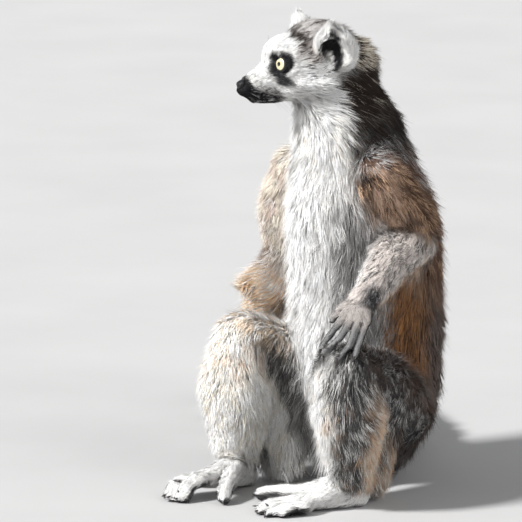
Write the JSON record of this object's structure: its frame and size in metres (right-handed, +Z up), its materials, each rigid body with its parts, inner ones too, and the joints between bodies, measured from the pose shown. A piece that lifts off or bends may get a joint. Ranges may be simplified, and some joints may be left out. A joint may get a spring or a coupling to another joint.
{
  "type": "ring-tailed lemur",
  "caption": "Ring-tailed lemur sitting upright on the floor, head turned to its right, one hand on its knee, banded tail curled behind; a still life-size model.",
  "frame": {"origin": "on the floor, in the middle of the flat that the rump rests on", "axes": "+Z up; the body faces -Y and its left side is +X; the head looks about 34 degrees to its right"},
  "size_m": [0.3965, 0.4225, 0.4061],
  "materials": {
    "coat_grey": "dense soft fur, grey speckled with white",
    "coat_white": "long soft white fur",
    "coat_brown": "woolly brown fur with pale tips",
    "leg_grey": "grey fur with black and white hairs",
    "tail_black": "black fur of the tail's dark bands",
    "hand_grey": "bare creased skin with thin short hair",
    "nose_black": "moist black skin",
    "eye_yellow": "clear wet eye with a pale yellow iris"
  },
  "bodies": {
    "root": {"ear_left": "coat_white", "ear_right": "coat_white", "eye_left": "eye_yellow", "eye_right": "eye_yellow", "foot_left": "coat_white", "foot_right": "coat_white", "forearm_left": "coat_grey", "forearm_right": "coat_grey", "hand_left": "hand_grey", "hand_right": "hand_grey", "head": "coat_white", "lower_leg_left": "leg_grey", "lower_leg_right": "leg_grey", "neck": "coat_grey", "nose": "nose_black", "tail_1": "tail_black", "tail_2": "coat_white", "tail_3": "tail_black", "tail_4": "coat_white", "tail_5": "tail_black", "tail_6": "coat_white", "thigh_left": "leg_grey", "thigh_right": "leg_grey", "trunk": "coat_grey", "upper_arm_left": "coat_brown", "upper_arm_right": "coat_brown"}
  },
  "joints": []
}
